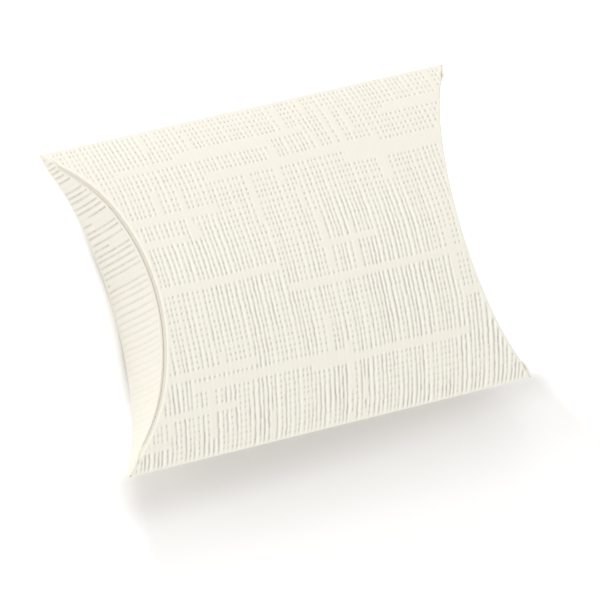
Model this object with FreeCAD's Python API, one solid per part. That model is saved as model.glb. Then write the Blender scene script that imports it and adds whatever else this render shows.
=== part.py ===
"""Pillow box: two arched card panels closed at each end by a pair of curved flaps.

Frame, in millimetres: +X runs along the side creases, +Y across the box, +Z up.
The origin is under the middle of the box, at the lowest line of its belly.
"""
import FreeCAD, Part
import math
import os

# Driving dimensions of the closed box
WIDTH = 70.0                # between the two side creases
HEIGHT = 26.4               # over both crowns
LENGTH = 95.0               # over the blunt corners, along a side crease
CORNER_BLUNT = 1.3          # how far each corner ends short of where its curved creases would meet
CARD = 0.4                  # thickness of the card

# Arch of a panel: a flat crown and two tighter shoulders
CROWN_RADIUS = 62.0
CROWN_HALF_ANGLE = math.radians(18.0)

# End flaps
PLY_GAP = 0.3               # between the outer and the inner flap
CREASE_GAP = 0.15           # between a flap's root and the panel that carries it
OUTER_TOP_GAP = 0.6         # strip of inner flap that shows above the outer one
OUTER_TIP = 33.4            # half-width at which the outer flap's tips are trimmed
INNER_TIP = 31.0            # half-width at which the inner flap's tips are trimmed
INNER_DEPTH = 13.5          # how far the inner flap hangs down from its crown

# Glued seam inside the far side crease
GLUE_FILM = 0.1
TAB_GAP = 0.05              # between the tab's root and the bottom panel
TAB_FREE_EDGE = 25.0        # Y of the tab's free edge
TAB_ROOT_HALF_LENGTH = 38.0
TAB_FREE_HALF_LENGTH = 34.0
GLUE_MARGIN = 1.2           # from the edge of the glue to the edges of the tab
GLUE_OUTER_EDGE = 32.6      # Y of the glue's edge beside the side crease

# Values that follow from the driving dimensions
HALF_WIDTH = WIDTH / 2
CREASE_HALF_LENGTH = LENGTH / 2 + CORNER_BLUNT     # where the curved creases would meet
MIDDLE = HEIGHT / 2         # height of the side creases, and the rise of each arch
REACH = 2 * LENGTH          # larger than the box, for cutting solids

SHOULDER_RUN = HALF_WIDTH - CROWN_RADIUS * math.sin(CROWN_HALF_ANGLE)
SHOULDER_DROP = MIDDLE - CROWN_RADIUS * (1 - math.cos(CROWN_HALF_ANGLE))
EDGE_ANGLE = 2 * math.atan2(SHOULDER_DROP, SHOULDER_RUN) - CROWN_HALF_ANGLE
SHOULDER_RADIUS = SHOULDER_RUN / (math.sin(EDGE_ANGLE) - math.sin(CROWN_HALF_ANGLE))
CROWN_CENTRE = MIDDLE - CROWN_RADIUS
SHOULDER_CENTRE_Y = (CROWN_RADIUS - SHOULDER_RADIUS) * math.sin(CROWN_HALF_ANGLE)
SHOULDER_CENTRE = CROWN_CENTRE + (CROWN_RADIUS - SHOULDER_RADIUS) * math.cos(CROWN_HALF_ANGLE)

INNER_SETBACK = CARD + PLY_GAP          # the upper creases lie this far inside the lower ones
MITRE_POINTS = 25                       # points of the curve that a mitre follows
MITRE_OVERRUN = 1.1                     # how far that curve runs past the side creases


def arch_point(angle, offset):
    """Point (across, rise) of the arch, moved outwards by offset; angle is 0 at the crown."""
    if abs(angle) <= CROWN_HALF_ANGLE:
        radius = CROWN_RADIUS + offset
        return radius * math.sin(angle), CROWN_CENTRE + radius * math.cos(angle)
    radius = SHOULDER_RADIUS + offset
    centre = math.copysign(SHOULDER_CENTRE_Y, angle)
    return centre + radius * math.sin(angle), SHOULDER_CENTRE + radius * math.cos(angle)


def arch_edges(offset, place):
    """The three tangent arcs of the arch, from -Y to +Y; place turns (across, rise) into a point."""
    edges = []
    stops = (-EDGE_ANGLE, -CROWN_HALF_ANGLE, CROWN_HALF_ANGLE, EDGE_ANGLE)
    for start, end in zip(stops, stops[1:]):
        on_arc = [place(*arch_point(angle, offset)) for angle in (start, (start + end) / 2, end)]
        edges.append(Part.Arc(*on_arc).toShape())
    return edges


def arch_band(inner, outer, place):
    """Face between the arch moved by inner and the arch moved by outer."""
    low = [arch_point(angle, inner) for angle in (-EDGE_ANGLE, EDGE_ANGLE)]
    high = [arch_point(angle, outer) for angle in (-EDGE_ANGLE, EDGE_ANGLE)]
    edges = arch_edges(inner, place) + arch_edges(outer, place)
    for start, end in zip(low, high):
        edges.append(Part.makeLine(place(*start), place(*end)))
    return Part.Face(Part.Wire(Part.__sortEdges__(edges)))


def under_arch(offset, place, depth):
    """Face from the arch moved by offset down to a straight line at -depth."""
    left, right = [arch_point(angle, offset) for angle in (-EDGE_ANGLE, EDGE_ANGLE)]
    corners = [place(*left), place(left[0], -depth), place(right[0], -depth), place(*right)]
    edges = arch_edges(offset, place)
    edges += [Part.makeLine(start, end) for start, end in zip(corners, corners[1:])]
    return Part.Face(Part.Wire(Part.__sortEdges__(edges)))


def upright(across, rise):
    """A point of the cross-section of the top panel, at the box's far left."""
    return FreeCAD.Vector(-REACH / 2, across, MIDDLE + rise)


def hanging(across, rise):
    """The same for the bottom panel."""
    return FreeCAD.Vector(-REACH / 2, across, MIDDLE - rise)


def in_plan(across, rise):
    """A point of the plan of the right end, where the arch dents the end inwards."""
    return FreeCAD.Vector(CREASE_HALF_LENGTH - rise, across, 0)


def slab(x_size, y_low, y_high, z_low, z_high):
    """Block centred on X."""
    corner = FreeCAD.Vector(-x_size / 2, y_low, z_low)
    return Part.makeBox(x_size, y_high - y_low, z_high - z_low, corner)


def end_cutter(setback, side):
    """Everything beyond the mitred crease at the right end.

    side is -1 for the lower crease and 1 for the upper one. The mitre leans inwards at 45 degrees
    from the crease, halfway between the panel and the flap.
    """
    edge = []
    for step in range(MITRE_POINTS):
        angle = EDGE_ANGLE * MITRE_OVERRUN * (2 * step / (MITRE_POINTS - 1) - 1)
        across, rise = arch_point(angle, 0)
        reach = CREASE_HALF_LENGTH - setback - 2 * rise + MIDDLE
        edge.append(FreeCAD.Vector(reach, across, MIDDLE + side * MIDDLE))
    curve = Part.BSplineCurve()
    curve.interpolate(edge)
    far = FreeCAD.Vector(REACH / 2, 0, 0)
    corners = [edge[0], edge[0] + far, edge[-1] + far, edge[-1]]
    edges = [curve.toShape()]
    edges += [Part.makeLine(start, end) for start, end in zip(corners, corners[1:])]
    face = Part.Face(Part.Wire(Part.__sortEdges__(edges)))
    inwards = face.extrude(FreeCAD.Vector(-2 * HEIGHT, 0, -2 * HEIGHT * side))
    outwards = face.extrude(FreeCAD.Vector(HEIGHT, 0, HEIGHT * side))
    return inwards.fuse(outwards)


def both_ends(shape):
    """The right-hand shape and its mirror image at the left end."""
    return shape, shape.mirror(FreeCAD.Vector(0, 0, 0), FreeCAD.Vector(1, 0, 0))


def panel(place, side, setback):
    """One arched panel with blunt corners, mitred at its side creases and at its curved end creases."""
    shell = arch_band(-CARD, 0, place).extrude(FreeCAD.Vector(REACH, 0, 0))
    half_space = sorted((MIDDLE, MIDDLE + side * REACH))
    shape = shell.common(slab(LENGTH - 2 * setback, -WIDTH, WIDTH, *half_space))
    for cutter in both_ends(end_cutter(setback, side)):
        shape = shape.cut(cutter)
    return shape


def outer_flap():
    """Right outer flap: carried by the bottom panel, it stops just short of the upper crease."""
    wall = arch_band(0, CARD, in_plan).extrude(FreeCAD.Vector(0, 0, HEIGHT))
    below_top = under_arch(-OUTER_TOP_GAP, upright, HEIGHT).extrude(FreeCAD.Vector(REACH, 0, 0))
    shape = wall.common(below_top).common(end_cutter(-CREASE_GAP, -1))
    return shape.common(slab(REACH, -OUTER_TIP, OUTER_TIP, 0, HEIGHT))


def inner_flap():
    """Right inner flap: carried by the top panel, it hangs behind the outer flap."""
    wall = arch_band(0, CARD, in_plan).extrude(FreeCAD.Vector(0, 0, HEIGHT))
    wall.translate(FreeCAD.Vector(-INNER_SETBACK, 0, 0))
    shape = wall.common(end_cutter(INNER_SETBACK - CREASE_GAP, 1))
    return shape.common(slab(REACH, -INNER_TIP, INNER_TIP, HEIGHT - INNER_DEPTH, HEIGHT))


def tapered(root_half, free_half, y_root, y_free):
    """Upright prism over a strip whose length changes from its root to its free edge."""
    corners = [(-root_half, y_root), (root_half, y_root), (free_half, y_free), (-free_half, y_free)]
    points = [FreeCAD.Vector(x, y, 0) for x, y in corners]
    return Part.Face(Part.makePolygon(points + points[:1])).extrude(FreeCAD.Vector(0, 0, HEIGHT))


def glue_tab():
    """Strip folded in from the bottom panel's far edge, under the top panel."""
    shell = arch_band(-2 * CARD - GLUE_FILM, -CARD - GLUE_FILM, upright).extrude(FreeCAD.Vector(REACH, 0, 0))
    strip = shell.common(tapered(TAB_ROOT_HALF_LENGTH, TAB_FREE_HALF_LENGTH, HALF_WIDTH, TAB_FREE_EDGE))
    inside = under_arch(-CARD - TAB_GAP, hanging, HEIGHT).extrude(FreeCAD.Vector(REACH, 0, 0))
    return strip.common(inside)


def seam_glue():
    """Film of glue between the tab and the top panel."""
    shell = arch_band(-CARD - GLUE_FILM, -CARD, upright).extrude(FreeCAD.Vector(REACH, 0, 0))
    return shell.common(tapered(TAB_ROOT_HALF_LENGTH - 2 * GLUE_MARGIN, TAB_FREE_HALF_LENGTH - GLUE_MARGIN,
                                GLUE_OUTER_EDGE, TAB_FREE_EDGE + GLUE_MARGIN))


def main():
    right_outer, left_outer = both_ends(outer_flap())
    right_inner, left_inner = both_ends(inner_flap())
    nodes = {
        "top_panel": panel(upright, 1, INNER_SETBACK),
        "bottom_panel": panel(hanging, -1, 0),
        "glue_tab": glue_tab(),
        "seam_glue": seam_glue(),
        "left_outer_flap": left_outer,
        "left_inner_flap": left_inner,
        "right_outer_flap": right_outer,
        "right_inner_flap": right_inner,
    }
    os.makedirs("parts", exist_ok=True)
    for name, shape in nodes.items():
        shape = shape.removeSplitter()
        box = shape.optimalBoundingBox()
        print(f"{name}: valid {shape.isValid()}, solids {len(shape.Solids)}, volume {shape.Volume:.1f}, "
              f"x {box.XMin:.2f} {box.XMax:.2f}, y {box.YMin:.2f} {box.YMax:.2f}, z {box.ZMin:.2f} {box.ZMax:.2f}")
        shape.exportStep(f"parts/{name}.step")


main()
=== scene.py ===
"""Ivory pillow box of linen-embossed card, closed and lying on a pale floor."""

import math

import bmesh
import bpy
import numpy as np
from mathutils import Matrix, Vector

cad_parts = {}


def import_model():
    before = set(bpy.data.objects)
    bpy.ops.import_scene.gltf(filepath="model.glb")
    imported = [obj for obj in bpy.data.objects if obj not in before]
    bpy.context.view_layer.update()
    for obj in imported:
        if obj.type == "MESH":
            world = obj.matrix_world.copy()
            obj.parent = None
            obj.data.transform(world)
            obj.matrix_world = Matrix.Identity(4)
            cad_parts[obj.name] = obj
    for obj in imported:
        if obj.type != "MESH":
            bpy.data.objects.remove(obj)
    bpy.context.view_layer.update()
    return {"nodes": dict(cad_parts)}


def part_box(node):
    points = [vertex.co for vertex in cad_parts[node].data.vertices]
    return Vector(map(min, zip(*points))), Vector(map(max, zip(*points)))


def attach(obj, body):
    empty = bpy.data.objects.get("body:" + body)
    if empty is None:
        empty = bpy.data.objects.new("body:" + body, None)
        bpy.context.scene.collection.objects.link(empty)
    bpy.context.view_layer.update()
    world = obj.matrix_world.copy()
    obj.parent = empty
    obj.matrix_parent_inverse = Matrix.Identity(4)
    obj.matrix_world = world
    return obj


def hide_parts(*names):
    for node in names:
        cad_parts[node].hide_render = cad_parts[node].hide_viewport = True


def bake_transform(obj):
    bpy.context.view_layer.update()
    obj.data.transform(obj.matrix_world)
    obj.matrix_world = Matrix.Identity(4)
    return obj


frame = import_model()

# Sizes of the box, in metres
MM = 0.001
HALF_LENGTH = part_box("bottom_panel")[1][0]
HALF_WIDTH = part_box("bottom_panel")[1][1]
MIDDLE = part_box("top_panel")[0][2]              # height of the side creases, and the rise of each arch
INNER_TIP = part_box("right_inner_flap")[1][1] + 1.5 * MM     # half-width, a little more than the solid's
INNER_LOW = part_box("right_inner_flap")[0][2] - MIDDLE       # its free edge, above the side creases
CARD = 0.4 * MM
PLY_GAP = 0.08 * MM                             # between the outer and the inner flap
INNER_SETBACK = CARD + PLY_GAP                  # the upper creases lie this far inside the lower ones
CROWN_RADIUS = 62 * MM
CROWN_ANGLE = math.radians(18)
CORNER_BLUNT = 1.3 * MM                         # how far a corner ends short of where its creases would meet
CORNER_TAPER = 0.6                              # how far a blunt corner draws back for each unit of rise
CREASE_HALF_LENGTH = HALF_LENGTH + CORNER_BLUNT
OUTER_TOP_GAP = 2.1 * MM                        # strip of inner flap that shows above the outer one
OUTER_TIP = HALF_WIDTH - 0.4 * MM               # half-width of an outer flap

# Folds
SIDE_FOLD_RADIUS = 0.35 * MM
END_FOLD_RADIUS = 0.36 * MM
CORNER_FOLD_RADIUS = 0.06 * MM
FOLD_STEPS = 6
FOLD_FULL_RISE = 3 * MM                         # rise at which an end fold is fully round
INNER_FACE_GRID = (41, 25)                      # points across and along a plain inner face
SHARP_ANGLE = math.radians(55)                  # edges that bend more than this are drawn sharp

# Linen emboss
COLUMN_PITCH, COLUMN_GAP = 1.06 * MM, 0.27 * MM     # crosswise threads: pitch, and half the width of a gap
ROW_PITCH, ROW_GAP = 1.35 * MM, 0.31 * MM           # lengthwise threads
PITCH_SPREAD = 0.2                              # share by which a pitch varies
FIRST_GAP, LAST_GAP = (0.5, 1), 1.5             # pitches from an edge to the gaps nearest to it
GAP_EDGE_SHARE = 0.22                           # depth at a gap's edges beside that at its bottom
CREST_PAINTED_HIGHLIGHT, DIM_FLANK_TONE, LIT_FLANK_TONE = 0.75, 0.3, 1       # share of painted highlight on a thread there: its crest, the flank on the dim side and the flank on the lit side
EMBOSS_DEPTH = 0.29 * MM
FAINTEST_PIT = 0.6                              # depth of the faintest pit beside that of the deepest
THREAD_PAINTED_HIGHLIGHT = 0.8                              # share of painted highlight on a thread between two pits
DRIFT_THREADS = 5                               # threads after which a groove's depth has changed
PANEL_DRIFT, FLAP_DRIFT = 0.6, 0.4              # greatest share by which it changes
PATCH_COLUMNS, PATCH_ROWS = 13, 8               # threads in a patch of ribs or of pits, each way
PATCH_SHARE = 0.3                               # how far the grooves' depth changes from patch to patch
RIBS_BEGIN, RIBS_STRETCH = 34 * MM, 70 * MM     # where a panel's ribs begin, and the stretch to full ribs
PANEL_RIBS = (0.12, 0.7)                        # depth of a panel's ribs beside a pit's: least, and gain
PANEL_LENGTHWISE = 0.04                         # and of its grooves along the box
FLAP_CROSSWISE, FLAP_LENGTHWISE = 0.12, 0.65    # depth of a flap's grooves beside a pit's
FLAP_RELIEF = (0.15, 0.85)                      # strength of a flap's relief at its near tip, and gain
FLAP_FADE_HALF = 22 * MM                        # half the stretch over which it gains
SLUB_MARGIN = 3                                 # threads beside the edges that are never thick
SLUB_REACH = 0.75                               # how far a thick thread reaches, in threads
SLUB_COVER = 0.9                                # share of the relief that it hides
BAR_SPACING, BAR_LENGTHS = 190 * MM, (9 * MM, 46 * MM)          # thick threads along the box
COLUMN_SPACING, COLUMN_LENGTHS = 280 * MM, (4 * MM, 14 * MM)    # and across it
SLUB_EASE = 0.9 * MM                            # stretch over which a thick thread begins and ends
PANEL_END_MARGIN, PANEL_SIDE_MARGIN = 0.5 * MM, 0.5 * MM        # smooth card beside the creases
OUTER_END_MARGIN, INNER_END_MARGIN, FLAP_SIDE_MARGIN = 0.7 * MM, 3.5 * MM, 2 * MM
WANDER = 0.16 * MM                              # how far a thread strays from its straight line
JITTER = 0.07 * MM                              # and how far it is moved aside at each crossing
STRAY_A = (3.1 * MM, 9 * MM, 7 * MM)            # wavelengths of that straying, divided by 2 pi
STRAY_S = (3.7 * MM, 8 * MM, 6 * MM)
FADE_START = 0.3                                # share of a margin that is quite smooth
LEAST_CELL = COLUMN_GAP / 4                     # mesh lines nearer than this to an end are joined to it

# Layout of a piece's map for baking: corner and size of the part for each face and for the strips of cut edge
BAKED_OUTER = np.array([[0.01, 0.01], [0.78, 0.92]])
BAKED_INNER = np.array([[0.81, 0.01], [0.18, 0.92]])
BAKED_EDGES = np.array([[0.01, 0.945], [0.98, 0.01]])
BAKED_EDGE_STEP = 0.013

# Colours and finishes
CREASE_PAINTED_SHADE, CREASE_PAINTED_SHADE_WIDTH = 0.45, 4 * MM         # painted shade on the card beside an inner flap's crease, and the width over which it fades
CARD_COLOURS = ((0.845, 0.817, 0.717, 1), (0.875, 0.846, 0.75, 1))
# painted shade, mixed into the card's colour in the pits and beside an inner flap's crease
PAINTED_SHADE_COLOUR = (0.54, 0.495, 0.44, 1)
PAINTED_HIGHLIGHT_COLOUR = (0.985, 0.965, 0.885, 1)        # painted highlight, mixed into the card's colour where a thread stands up between two grooves
CARD_ROUGHNESS, CARD_SPECULAR = 0.55, 0.35
CLOUD_SCALE, CLOUD_DETAIL = 0.35, 5             # slow change between the two card colours
FIBRE_SCALE, FIBRE_DETAIL = 6, 3
FIBRE_STRENGTH, FIBRE_HEIGHT = 0.25, 0.02 * MM
GLUE_COLOUR, GLUE_ROUGHNESS = (0.86, 0.82, 0.68, 1), 0.4
FLOOR_COLOUR, FLOOR_ROUGHNESS = (0.84, 0.826, 0.81, 1), 0.9
WHITE = (1, 1, 1, 1)

# Seeds of the weaves, to which a flap adds 1 at the right and takes 1 away at the left
TOP_SEED, BOTTOM_SEED = 11, 12
OUTER_SEED, INNER_SEED = 14, 18

# The photograph's view: where the box's middle falls in the frame, and the camera's three axes
FRAME_PIXELS = 600
MIDDLE_PIXEL = (288.2, 267.7)
PIXELS_PER_METRE = 4756.5
CAMERA_DISTANCE = 1.3885
CAMERA_RIGHT = Vector((0.89336, -0.26954, 0.3598))
CAMERA_UP = Vector((0.21387, 0.95878, 0.18714))
CAMERA_BACK = Vector((-0.3954, -0.09028, 0.91416))
SENSOR_MM = 36
VIEW_LIMIT = 50                                 # metres

# Studio: the floor's size, the world's light, and a direction and a power for each lamp
FLOOR_SIZE = 6
WORLD_STRENGTH = 0.64
LAMP_SIZE = 0.5
LAMP_DISTANCE = 0.9
LAMPS = {
    "left": ((-0.85, 0.5, 0.27), 2.0),
    "back_left": ((-0.35, 0.8, 1.0), 1.45),
    "back": ((0.0, 1.0, 0.5), 1.4),
    "front": ((0.0, -0.9, 0.6), 2.7),
}

# Painted light on the floor, seen by the rays that show the background, that turns it white away from the
# shadow: a direction, where a lift begins, where it is full, its size
FLOOR_LIFTS = (
    ((0.06, -1, 0), 35.5 * MM, 45 * MM, 0.14),
    ((0.06, -1, 0), 44 * MM, 62 * MM, 0.05),
    ((0, 1, 0), -35 * MM, -29 * MM, 0.36),
    ((-1, 0, 0), 40 * MM, 48 * MM, 0.19),
    ((-0.9, 0.43, 0), 28 * MM, 36 * MM, 0.2),
    ((0.826, 0.564, 0), 24.5 * MM, 29.5 * MM, 0.22),
)
# Under the box the floor keeps its shadow: along and across, where a lift begins and where it is full
UNDER_BOX = ((34 * MM, 40 * MM), (24 * MM, 38 * MM))


def smooth(value):
    """Eases a value from 0 to 1."""
    t = np.clip(value, 0, 1)
    return t * t * (3 - 2 * t)


class Arch:
    """Outer face of a panel, seen from an end: a flat crown, tighter shoulders and a fold at each side."""

    def __init__(self):
        run = HALF_WIDTH - CROWN_RADIUS * math.sin(CROWN_ANGLE)
        drop = MIDDLE - CROWN_RADIUS * (1 - math.cos(CROWN_ANGLE))
        edge = 2 * math.atan2(drop, run) - CROWN_ANGLE
        self.radius = run / (math.sin(edge) - math.sin(CROWN_ANGLE))
        self.crown_centre = MIDDLE - CROWN_RADIUS
        self.centre_y = (CROWN_RADIUS - self.radius) * math.sin(CROWN_ANGLE)
        self.centre_z = self.crown_centre + (CROWN_RADIUS - self.radius) * math.cos(CROWN_ANGLE)
        self.crown_end = CROWN_RADIUS * CROWN_ANGLE
        self.fold_angle = self.closing_angle(SIDE_FOLD_RADIUS)
        self.fold_start = self.length_at_slope(self.fold_angle)
        self.end = self.fold_start + SIDE_FOLD_RADIUS * (math.pi / 2 - self.fold_angle)

    def closing_angle(self, offset):
        """Slope at which the shoulder, moved inwards by offset, comes down to the side crease."""
        return math.acos(-self.centre_z / (self.radius - offset))

    def length_at_slope(self, slope):
        """Length from the crown to a slope on the shoulder."""
        return self.crown_end + self.radius * (slope - CROWN_ANGLE)

    def length_at(self, across):
        """Length from the crown to a distance across the box."""
        return self.length_at_slope(math.asin((across - self.centre_y) / self.radius))

    def points(self, length):
        """Distance across, rise and slope at each length from the crown."""
        length = np.asarray(length, float)
        side = np.where(length < 0, -1.0, 1.0)
        s = np.abs(length)
        stages = [s < self.crown_end, s < self.fold_start]
        fold_y = self.centre_y + (self.radius - SIDE_FOLD_RADIUS) * math.sin(self.fold_angle)
        radius = np.select(stages, [CROWN_RADIUS, self.radius], SIDE_FOLD_RADIUS)
        centre_y = np.select(stages, [0, self.centre_y], fold_y)
        centre_z = np.select(stages, [self.crown_centre, self.centre_z], 0)
        crown = s / CROWN_RADIUS
        shoulder = CROWN_ANGLE + (s - self.crown_end) / self.radius
        fold = np.minimum(self.fold_angle + (s - self.fold_start) / SIDE_FOLD_RADIUS, math.pi / 2)
        slope = np.select(stages, [crown, shoulder], fold)
        return side * (centre_y + radius * np.sin(slope)), centre_z + radius * np.cos(slope), side * slope


ARCH = Arch()


# The emboss: threads in two directions, with pits where the gaps between them cross

class Threads:
    """Mesh lines across one set of threads: edges and bottom of each gap, and crest of each thread."""

    def __init__(self, rng, half, pitch, gap_half):
        gaps = [-half + pitch * rng.uniform(*FIRST_GAP)]
        while gaps[-1] < half - LAST_GAP * pitch:
            gaps.append(gaps[-1] + pitch * (1 + PITCH_SPREAD * rng.uniform(-1, 1)))
        self.count = len(gaps)
        # each line's depth beside the bottom of a gap, and its share of painted highlight: the flank on the
        # lit side gets more than the dim one
        profile = ((-1, GAP_EDGE_SHARE, DIM_FLANK_TONE), (0, 1, 0), (1, GAP_EDGE_SHARE, LIT_FLANK_TONE))
        lines = []
        for number, gap in enumerate(gaps):
            if number:
                lines.append(((gap + gaps[number - 1]) / 2, 0, CREST_PAINTED_HIGHLIGHT, number - 0.5))
            for offset, depth, tone in profile:
                lines.append((gap + offset * gap_half, depth, tone, number))
        self.at, self.depth, self.tone, self.number = np.array(lines).T


def panel_grooves(s):
    """Pits along the far side of a panel, which run together into crosswise ribs towards the near side."""
    ribbed = smooth((RIBS_BEGIN - s) / RIBS_STRETCH)
    least, gain = PANEL_RIBS
    return least + gain * ribbed, PANEL_LENGTHWISE + 0 * s, 1 + 0 * s


def flap_grooves(s):
    """Ribs up a flap, which fade towards its near tip."""
    least, gain = FLAP_RELIEF
    strength = least + gain * smooth((s + FLAP_FADE_HALF) / (2 * FLAP_FADE_HALF))
    return FLAP_CROSSWISE + 0 * s, FLAP_LENGTHWISE + 0 * s, strength


def between(values, reached):
    """Rows of values at places between them."""
    before = reached.astype(int)
    share = smooth(reached - before)[:, None]
    return values[before] * (1 - share) + values[before + 1] * share


def drift(rng, grooves, stations):
    """A random value for each groove, from -1 to 1, that changes at every few stations along it."""
    reached = stations.number / DRIFT_THREADS
    values = rng.uniform(-1, 1, (int(reached.max()) + 2, grooves.count))
    return between(values[:, grooves.number.astype(int)], reached)


def patches(rng, along, across):
    """A random value, from -1 to 1, that changes from patch to patch."""
    columns, rows = along.number / PATCH_COLUMNS, across.number / PATCH_ROWS
    values = rng.uniform(-1, 1, (int(rows.max()) + 2, int(columns.max()) + 2))
    return between(between(values, rows).T, columns).T


def slubs(rng, threads, others, apart, lengths):
    """Where thick threads hide the weave: each fills one gap for a stretch along the other direction."""
    cover = np.zeros((len(threads.at), len(others.at)))
    for number in range(threads.count):
        inside = SLUB_MARGIN <= number < threads.count - SLUB_MARGIN
        near = inside & (np.abs(threads.number - number) < SLUB_REACH)
        start = others.at[0] - lengths[1] + rng.exponential(apart)
        while start < others.at[-1]:
            end = start + rng.uniform(*lengths)
            stretch = smooth((others.at - start) / SLUB_EASE) * smooth((end - others.at) / SLUB_EASE)
            cover[near] = np.maximum(cover[near], stretch)
            start = end + rng.exponential(apart)
    return cover


class Weave:
    """Relief of one piece of card: a runs along the piece and s across it.

    grooves gives, for each s, the depth of the grooves across and along the piece beside that of a pit,
    and the strength of the whole relief. The depth of the grooves varies by unevenness from groove to groove,
    and by patch_share from patch to patch.
    """

    def __init__(self, seed, half_a, half_s, grooves, unevenness, patch_share=0):
        rng = np.random.default_rng(seed)
        along = Threads(rng, half_a, COLUMN_PITCH, COLUMN_GAP)
        across = Threads(rng, half_s, ROW_PITCH, ROW_GAP)
        bars = slubs(rng, across, along, BAR_SPACING, BAR_LENGTHS)
        columns = slubs(rng, along, across, COLUMN_SPACING, COLUMN_LENGTHS).T
        deep_a, deep_s = np.meshgrid(along.depth, across.depth)
        crosswise, lengthwise, strength = [share[:, None] for share in grooves(across.at)]
        crosswise = crosswise * (1 + unevenness * drift(rng, along, across))
        lengthwise = np.clip(lengthwise * (1 + unevenness * drift(rng, across, along).T), 0, 1)
        crosswise = np.clip(crosswise + patch_share * patches(rng, along, across), 0, 1)
        relief = np.maximum(deep_a * deep_s, np.maximum(crosswise * deep_a, lengthwise * deep_s))
        # Painted highlight on the threads, where they stand between the grooves
        if crosswise.mean() > lengthwise.mean():
            threads = np.maximum(crosswise, THREAD_PAINTED_HIGHLIGHT * deep_s) * along.tone
        else:
            threads = np.maximum(lengthwise, THREAD_PAINTED_HIGHLIGHT * deep_a) * across.tone[:, None]
        pits = rng.uniform(FAINTEST_PIT, 1, (across.count, along.count))
        nearest = np.ix_(across.number.astype(int), along.number.astype(int))
        woven = strength * pits[nearest] * (1 - SLUB_COVER * bars) * (1 - SLUB_COVER * columns)
        self.depth = woven * relief
        # share of painted highlight at each point
        self.threads = woven * threads
        self.rows = across.at
        phase = rng.uniform(0, 2 * math.pi, 4)
        a, s = np.meshgrid(along.at, across.at)
        stray = np.sin(s / STRAY_A[0] + phase[0]) + np.sin(a / STRAY_A[1] + s / STRAY_A[2] + phase[1])
        aside = rng.uniform(-1, 1, (across.count, along.count))[nearest]
        self.a = a + WANDER / 2 * stray + JITTER * aside
        stray = np.sin(a / STRAY_S[0] + phase[2]) + np.sin(s / STRAY_S[1] - a / STRAY_S[2] + phase[3])
        self.stray_s = WANDER / 2 * stray


# Meshes of card: an embossed outer face, a plain inner face and the cut edge between them

class CardMesh:
    """Collects points and faces, with their places on the flat sheet and on the baked map."""

    def __init__(self):
        self.points = np.zeros((0, 3))
        self.sheet = np.zeros((0, 2))
        self.tones = np.zeros((0, 2))
        self.faces = []
        self.baked = []

    def add(self, points, a, s, pit=0, thread=0):
        """Adds an array of points, with their shares of painted shade (pit) and painted highlight (thread),
        and returns their numbers, arranged in the same way.
        """
        shape = points.shape[:-1]
        first = len(self.points)
        flat, tones = [np.stack(np.broadcast_arrays(*pair, np.zeros(shape))[:2], axis=-1)
                       for pair in ((a, s), (pit, thread))]
        self.points = np.concatenate([self.points, points.reshape(-1, 3)])
        self.sheet = np.concatenate([self.sheet, flat.reshape(-1, 2)])
        self.tones = np.concatenate([self.tones, tones.reshape(-1, 2)])
        return np.arange(first, len(self.points)).reshape(shape)

    def grid(self, numbers, part):
        """Faces over a grid of point numbers. Repeated numbers make a triangle, or no face at all.

        The longer way of the sheet runs up the part of the baked map.
        """
        size = np.ptp(self.sheet, axis=0)
        upwards = np.argsort(size)
        on_map = part[0] + part[1] * ((self.sheet - self.sheet.min(axis=0)) / size)[:, upwards]
        corners = np.stack([numbers[:-1, :-1], numbers[:-1, 1:], numbers[1:, 1:], numbers[1:, :-1]], axis=-1)
        for face in corners.reshape(-1, 4).tolist():
            kept = [number for place, number in enumerate(face) if number != face[place - 1]]
            if len(kept) > 2:
                self.faces.append(kept)
                self.baked.append(on_map[kept])

    def share_along(self, row):
        """How far along a row of points each one is, from 0 to 1."""
        steps = np.linalg.norm(np.diff(self.points[row], axis=0), axis=1)
        reached = np.concatenate([[0], np.cumsum(steps)])
        return reached / reached[-1]

    def edge(self, first, second, strip):
        """Triangles between two rows of points that run side by side and may differ in number."""
        first, second = [list(dict.fromkeys(row.tolist())) for row in (first, second)]
        reached, other = self.share_along(first), self.share_along(second)
        corner = BAKED_EDGES[0] + np.array([0, strip * BAKED_EDGE_STEP])
        i, j = 0, 0
        while i < len(first) - 1 or j < len(second) - 1:
            if j == len(second) - 1 or (i < len(first) - 1 and reached[i + 1] <= other[j + 1]):
                self.faces.append([first[i], first[i + 1], second[j]])
                shares = [[reached[i], 0], [reached[i + 1], 0], [other[j], 1]]
                i += 1
            else:
                self.faces.append([first[i], second[j + 1], second[j]])
                shares = [[reached[i], 0], [other[j + 1], 1], [other[j], 1]]
                j += 1
            self.baked.append(corner + BAKED_EDGES[1] * shares)

    def build(self, name, material):
        """The finished object, smooth on its faces and sharp at its cut edges."""
        mesh = bpy.data.meshes.new(name)
        shape = bmesh.new()
        used = sorted({number for face in self.faces for number in face})
        corners = {number: shape.verts.new(self.points[number]) for number in used}
        sheet, baked = [shape.loops.layers.uv.new(layer) for layer in ("Sheet", "OFBake")]
        for face, on_map in zip(self.faces, self.baked):
            made = shape.faces.new([corners[number] for number in face])
            made.smooth = True
            for loop, number, place in zip(made.loops, face, on_map):
                loop[sheet].uv = self.sheet[number] / MM
                loop[baked].uv = place
        bmesh.ops.recalc_face_normals(shape, faces=shape.faces)
        shape.to_mesh(mesh)
        shape.free()
        # Each point's share of painted shade (pit) and of painted highlight (thread), for the material to mix
        # into the card's colour
        for tone, tones in zip(("pit", "thread"), self.tones[used].T):
            values = mesh.attributes.new(tone, "FLOAT", "POINT")
            values.data.foreach_set("value", tones.astype(np.float32))
        mesh.set_sharp_from_angle(angle=SHARP_ANGLE)
        mesh.materials.append(material)
        made = bpy.data.objects.new(name, mesh)
        bpy.context.scene.collection.objects.link(made)
        return made


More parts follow.
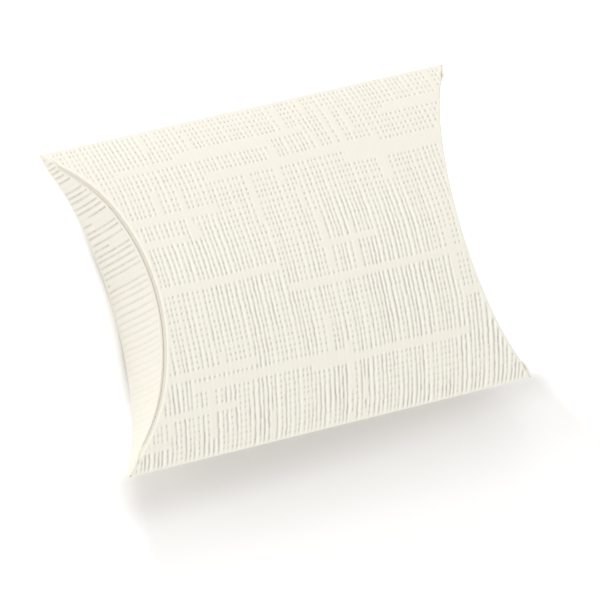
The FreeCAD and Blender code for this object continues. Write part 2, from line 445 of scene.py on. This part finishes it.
def embossed_face(mesh, weave, rows, low_points, high_points, low, high,
                  end_margin, side_margin, place, painted_crease_shade=0):
    """Outer face between two curved ends, with the threads running straight up to them.

    The last argument is the depth of painted shade on the card beside the higher end, in the crevice under
    the crease.
    """
    count = weave.a.shape[1]
    a = np.repeat(weave.a[:1], len(rows), axis=0)
    s = np.repeat(rows[:, None], count, axis=1)
    depth, threads = np.zeros_like(a), np.zeros_like(a)
    woven = np.isin(rows, weave.rows)
    a[woven] = weave.a
    depth[woven] = weave.depth
    threads[woven] = weave.threads
    to_end = np.minimum(a - low[:, None], high[:, None] - a) / end_margin
    to_side = (np.minimum(rows - rows[0], rows[-1] - rows) / side_margin)[:, None]
    fade = smooth(to_end - FADE_START) * smooth(to_side - FADE_START)
    s[woven] += weave.stray_s * fade[woven]
    # Painted shade on the card beside an inner flap's crease
    painted_crease_mask = painted_crease_shade * smooth(1 - (high[:, None] - a) / CREASE_PAINTED_SHADE_WIDTH)
    # Painted shade in the pits, following the depth of the emboss, or the crease's painted shade where that
    # is darker
    pits = np.maximum(depth * fade, painted_crease_mask)
    inner = mesh.add(place(a, s, EMBOSS_DEPTH * depth * fade), a, s, pits, threads * fade)
    start = mesh.add(low_points, low, rows)
    end = mesh.add(high_points, high, rows, painted_crease_shade)
    inner = np.where(a < low[:, None] + LEAST_CELL, start[:, None], inner)
    inner = np.where(a > high[:, None] - LEAST_CELL, end[:, None], inner)
    return np.column_stack([start, inner, end])


def plain_face(mesh, half_s, limits, place):
    """Inner face: a coarse grid one thickness of card below the outer one."""
    rows, columns = INNER_FACE_GRID
    s = np.linspace(-half_s, half_s, rows)[:, None]
    low, high = limits(s)
    a = low + (high - low) * np.linspace(0, 1, columns)[None, :]
    s = np.repeat(s, columns, axis=1)
    numbers = mesh.add(place(a, s, CARD), a, s)
    mesh.grid(numbers, BAKED_INNER)
    return numbers


def close(mesh, outer, inner):
    """The cut edge all round, between an outer and an inner face."""
    mesh.grid(outer, BAKED_OUTER)
    borders = [(face[0], face[-1], face[:, 0], face[:, -1]) for face in (outer, inner)]
    for strip, (first, second) in enumerate(zip(*borders)):
        mesh.edge(first, second, strip)


# The folds at the ends

def end_reach(rise):
    """How far from the box's middle its curved end creases lie, at a rise above the side creases."""
    return np.minimum(CREASE_HALF_LENGTH - rise, HALF_LENGTH - CORNER_TAPER * rise)


def end_fold(s, setback):
    """Crease, normals and radius of the fold at the right end of an upper panel."""
    y, rise, slope = ARCH.points(s)
    crease = np.stack([end_reach(rise) - setback, y, rise], axis=-1)
    turned = slope * smooth(rise / CORNER_BLUNT - 1)
    panel = np.stack([0 * s, np.sin(slope), np.cos(slope)], axis=-1)
    flap = np.stack([np.cos(turned), -np.sin(turned), 0 * s], axis=-1)
    radius = CORNER_FOLD_RADIUS + (END_FOLD_RADIUS - CORNER_FOLD_RADIUS) * smooth(rise / FOLD_FULL_RISE)
    return crease, panel, flap, radius[:, None]


def fold_strip(s, setback):
    """Points of that fold, from where it leaves the panel to where the flap begins."""
    crease, panel, flap, radius = end_fold(s, setback)
    cosine = np.sum(panel * flap, axis=-1, keepdims=True)
    centre = crease - radius * (panel + flap) / (1 + cosine)
    angle = np.arccos(cosine)
    strip = []
    for step in range(FOLD_STEPS + 1):
        t = step / FOLD_STEPS
        normal = (np.sin((1 - t) * angle) * panel + np.sin(t * angle) * flap) / np.sin(angle)
        strip.append(centre + radius * normal)
    return strip


def root_offset(s):
    """Distance along a flap from the crease to where the flap leaves the fold."""
    _, panel, flap, radius = end_fold(s, 0)
    slope = ARCH.points(s)[2]
    half_turn = np.arccos(np.sum(panel * flap, axis=-1)) / 2
    skew = np.sqrt((1 + 2 * np.tan(slope) ** 2) / (1 + np.tan(slope) ** 2))
    return radius[:, 0] * np.tan(half_turn) * skew


def panel(name, up, setback, seed, material):
    """One arched panel with its folds. up is 1 for the top panel and -1 for the bottom one."""
    flip = np.array([1, 1, up])
    lift = np.array([0, 0, MIDDLE])

    def place(a, s, depth):
        y, rise, slope = ARCH.points(s)
        return np.stack([a, y - depth * np.sin(slope), rise - depth * np.cos(slope)], axis=-1) * flip + lift

    def inner_limits(s):
        rise = ARCH.points(s)[1]
        reach = end_reach(rise) - END_FOLD_RADIUS * smooth(rise / FOLD_FULL_RISE) - CARD - setback
        return -reach, reach

    weave = Weave(seed, HALF_LENGTH, ARCH.fold_start, panel_grooves, PANEL_DRIFT, PATCH_SHARE)
    side = ARCH.fold_start + (ARCH.end - ARCH.fold_start) * np.linspace(0, 1, FOLD_STEPS)
    rows = np.concatenate([-side[::-1], weave.rows, side])
    right = fold_strip(rows, setback)
    strips = [[points * np.array([end, 1, 1]) * flip + lift for points in right] for end in (-1, 1)]
    reach = right[0][:, 0]
    mesh = CardMesh()
    face = embossed_face(mesh, weave, rows, strips[0][0], strips[1][0], -reach, reach,
                         PANEL_END_MARGIN, PANEL_SIDE_MARGIN, place)
    folds = [[mesh.add(points, end * (reach + END_FOLD_RADIUS * step / FOLD_STEPS), rows)
              for step, points in enumerate(strip)][1:] for end, strip in zip((-1, 1), strips)]
    outer = np.column_stack(folds[0][::-1] + [face] + folds[1])
    inner_half = ARCH.length_at_slope(ARCH.closing_angle(CARD))
    close(mesh, outer, plain_face(mesh, inner_half, inner_limits, place))
    made = mesh.build(name + "_card", material)
    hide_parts(name)
    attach(made, "sleeve")


def flap(name, end, setback, tip, limits, crease_up, seed, material):
    """One end flap. end is 1 at the right, and crease_up is 1 where the top panel carries the flap."""

    def place(a, s, depth):
        y, rise, slope = ARCH.points(s)
        turned = slope * smooth(rise / CORNER_BLUNT - 1)
        x = end_reach(rise) - setback - depth * np.cos(turned)
        return np.stack([end * x, y + depth * np.sin(turned), MIDDLE + a], axis=-1)

    half_s = ARCH.length_at(tip)
    weave = Weave(seed, MIDDLE, half_s, flap_grooves, FLAP_DRIFT)
    rows = np.concatenate([[-half_s], weave.rows, [half_s]])
    low, high = limits(rows)
    low_points, high_points = place(low, rows, 0 * rows), place(high, rows, 0 * rows)
    mesh = CardMesh()
    # Inner flaps get painted shade beside their crease
    end_margin, flap_painted_shade = (INNER_END_MARGIN, CREASE_PAINTED_SHADE) if crease_up > 0 else (OUTER_END_MARGIN, 0)
    outer = embossed_face(mesh, weave, rows, low_points, high_points, low, high,
                          end_margin, FLAP_SIDE_MARGIN, place, flap_painted_shade)
    close(mesh, outer, plain_face(mesh, half_s, lambda s: [x[:, None] for x in limits(s[:, 0])], place))
    made = mesh.build(name + "_card", material)
    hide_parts(name)
    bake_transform(made)


def outer_limits(s):
    """Lower and upper edge of an outer flap."""
    _, rise, slope = ARCH.points(s)
    inner_tip_rise = ARCH.points(ARCH.length_at(INNER_TIP))[1]
    gap = OUTER_TOP_GAP * smooth(rise / inner_tip_rise - 1)
    return root_offset(s) - rise, rise - gap / np.cos(slope)


def inner_limits(s):
    """Lower and upper edge of an inner flap."""
    rise = ARCH.points(s)[1]
    return np.full_like(rise, INNER_LOW), rise - root_offset(s)


# Materials

def principled(name, colour, roughness):
    """A material and its shader, with the colour and roughness set."""
    material = bpy.data.materials.new(name)
    material.use_nodes = True
    shader = material.node_tree.nodes["Principled BSDF"]
    shader.inputs["Base Color"].default_value = colour
    shader.inputs["Roughness"].default_value = roughness
    return material, shader


def card_material():
    """Ivory card with faint fibres and a soft sheen, with painted shade in the pits and beside the inner
    flaps' creases, and painted highlight on the threads.
    """
    material, shader = principled("ivory_card", CARD_COLOURS[0], CARD_ROUGHNESS)
    nodes, links = material.node_tree.nodes, material.node_tree.links
    sheet = nodes.new("ShaderNodeUVMap")
    sheet.uv_map = "Sheet"
    cloud = nodes.new("ShaderNodeTexNoise")
    cloud.inputs["Scale"].default_value = CLOUD_SCALE
    cloud.inputs["Detail"].default_value = CLOUD_DETAIL
    tones = nodes.new("ShaderNodeMix")
    tones.data_type = "RGBA"
    tones.inputs["A"].default_value, tones.inputs["B"].default_value = CARD_COLOURS
    fibre = nodes.new("ShaderNodeTexNoise")
    fibre.inputs["Scale"].default_value = FIBRE_SCALE
    fibre.inputs["Detail"].default_value = FIBRE_DETAIL
    bump = nodes.new("ShaderNodeBump")
    bump.inputs["Strength"].default_value = FIBRE_STRENGTH
    bump.inputs["Distance"].default_value = FIBRE_HEIGHT
    links.new(sheet.outputs["UV"], cloud.inputs["Vector"])
    links.new(sheet.outputs["UV"], fibre.inputs["Vector"])
    links.new(cloud.outputs["Fac"], tones.inputs["Factor"])
    tone = tones.outputs["Result"]
    # Painted highlight on the threads, then painted shade in the pits and beside the creases, mixed into the
    # card's colour by the points' attributes
    for name, colour in (("thread", PAINTED_HIGHLIGHT_COLOUR), ("pit", PAINTED_SHADE_COLOUR)):
        share = nodes.new("ShaderNodeAttribute")
        share.attribute_name = name
        shade = nodes.new("ShaderNodeMix")
        shade.data_type = "RGBA"
        shade.inputs["B"].default_value = colour
        links.new(share.outputs["Fac"], shade.inputs["Factor"])
        links.new(tone, shade.inputs["A"])
        tone = shade.outputs["Result"]
    links.new(tone, shader.inputs["Base Color"])
    links.new(fibre.outputs["Fac"], bump.inputs["Height"])
    links.new(bump.outputs["Normal"], shader.inputs["Normal"])
    shader.inputs["Specular IOR Level"].default_value = CARD_SPECULAR
    return material


def dress_node(node, material):
    """Gives a CAD node that is shown as it is its material."""
    made = frame["nodes"][node]
    made.data.materials.clear()
    made.data.materials.append(material)


# The studio: floor, world, lamps and camera

def combine(nodes, links, operation, outputs):
    """Joins values two by two with one operation, and returns the last result."""
    total = outputs[0]
    for output in outputs[1:]:
        step = nodes.new("ShaderNodeMath")
        step.operation = operation
        links.new(total, step.inputs[0])
        links.new(output, step.inputs[1])
        total = step.outputs[0]
    return total


def eased(nodes, links, value, begins, full, size=1):
    """A value's rise from 0 to size, between where it begins and where it is full."""
    rise = nodes.new("ShaderNodeMapRange")
    rise.interpolation_type = "SMOOTHSTEP"
    rise.inputs["From Min"].default_value = begins
    rise.inputs["From Max"].default_value = full
    rise.inputs["To Max"].default_value = size
    links.new(value, rise.inputs["Value"])
    return rise.outputs["Result"]


def background_rays(nodes, links):
    """1 for the rays that show the white background: those seen directly, mirrored or through glass."""
    path = nodes.new("ShaderNodeLightPath")
    rays = [path.outputs[f"Is {kind} Ray"] for kind in ("Camera", "Glossy", "Transmission")]
    return combine(nodes, links, "MAXIMUM", rays)


def floor():
    """A wide pale floor that keeps the shadow, with painted light that makes it white to the camera
    elsewhere.
    """
    bpy.ops.mesh.primitive_plane_add(size=FLOOR_SIZE, location=(0, 0, 0))
    made = bpy.context.object
    made.name = "floor"
    material, shader = principled("floor_white", FLOOR_COLOUR, FLOOR_ROUGHNESS)
    shader.inputs["Specular IOR Level"].default_value = 0
    nodes, links = material.node_tree.nodes, material.node_tree.links
    place = nodes.new("ShaderNodeNewGeometry")
    shader.inputs["Emission Color"].default_value = WHITE
    lifts = []
    for direction, begins, full, size in FLOOR_LIFTS:
        away = nodes.new("ShaderNodeVectorMath")
        away.operation = "DOT_PRODUCT"
        away.inputs[1].default_value = direction
        links.new(place.outputs["Position"], away.inputs[0])
        lifts.append(eased(nodes, links, away.outputs["Value"], begins, full, size))
    to_sides = nodes.new("ShaderNodeVectorMath")
    to_sides.operation = "ABSOLUTE"
    parts = nodes.new("ShaderNodeSeparateXYZ")
    links.new(place.outputs["Position"], to_sides.inputs[0])
    links.new(to_sides.outputs["Vector"], parts.inputs["Vector"])
    outside = [eased(nodes, links, part, *limits) for part, limits in zip(parts.outputs, UNDER_BOX)]
    lifted = combine(nodes, links, "ADD", lifts)
    beside = combine(nodes, links, "MAXIMUM", outside)
    strength = combine(nodes, links, "MULTIPLY", [lifted, beside, background_rays(nodes, links)])
    links.new(strength, shader.inputs["Emission Strength"])
    made.data.materials.append(material)


def world():
    """Even studio light all round, white where the camera sees it."""
    made = bpy.data.worlds.new("studio")
    made.use_nodes = True
    bpy.context.scene.world = made
    nodes, links = made.node_tree.nodes, made.node_tree.links
    even = nodes["Background"]
    even.inputs["Color"].default_value = WHITE
    even.inputs["Strength"].default_value = WORLD_STRENGTH
    white = nodes.new("ShaderNodeBackground")
    white.inputs["Strength"].default_value = 1
    mix = nodes.new("ShaderNodeMixShader")
    links.new(background_rays(nodes, links), mix.inputs["Fac"])
    links.new(even.outputs["Background"], mix.inputs[1])
    links.new(white.outputs["Background"], mix.inputs[2])
    links.new(mix.outputs["Shader"], nodes["World Output"].inputs["Surface"])


def lamp(name, towards, power):
    """A square soft lamp, facing the box."""
    data = bpy.data.lights.new(name, "AREA")
    data.size = LAMP_SIZE
    data.energy = power
    made = bpy.data.objects.new(name, data)
    direction = Vector(towards).normalized()
    made.location = direction * LAMP_DISTANCE
    made.rotation_euler = direction.to_track_quat("Z", "Y").to_euler()
    bpy.context.scene.collection.objects.link(made)


def camera():
    """The photograph's camera."""
    data = bpy.data.cameras.new("camera")
    data.sensor_width = SENSOR_MM
    data.lens = PIXELS_PER_METRE * CAMERA_DISTANCE / FRAME_PIXELS * SENSOR_MM
    data.clip_end = VIEW_LIMIT
    made = bpy.data.objects.new("camera", data)
    right = (FRAME_PIXELS / 2 - MIDDLE_PIXEL[0]) / PIXELS_PER_METRE
    down = (FRAME_PIXELS / 2 - MIDDLE_PIXEL[1]) / PIXELS_PER_METRE
    target = Vector((0, 0, MIDDLE)) + right * CAMERA_RIGHT - down * CAMERA_UP
    axes = Matrix((CAMERA_RIGHT, CAMERA_UP, CAMERA_BACK)).transposed()
    made.matrix_world = Matrix.Translation(target + CAMERA_DISTANCE * CAMERA_BACK) @ axes.to_4x4()
    bpy.context.scene.collection.objects.link(made)
    bpy.context.scene.camera = made


def main():
    card = card_material()
    glue, _ = principled("dried_glue", GLUE_COLOUR, GLUE_ROUGHNESS)
    panel("top_panel", 1, INNER_SETBACK, TOP_SEED, card)
    panel("bottom_panel", -1, 0, BOTTOM_SEED, card)
    for end, side in ((-1, "left"), (1, "right")):
        flap(side + "_outer_flap", end, 0, OUTER_TIP, outer_limits, -1, OUTER_SEED + end, card)
        flap(side + "_inner_flap", end, INNER_SETBACK, INNER_TIP, inner_limits, 1, INNER_SEED + end, card)
    dress_node("glue_tab", card)
    dress_node("seam_glue", glue)
    floor()
    world()
    for name, (towards, power) in LAMPS.items():
        lamp(name, towards, power)
    camera()
    bpy.context.scene.view_settings.view_transform = "Standard"


main()
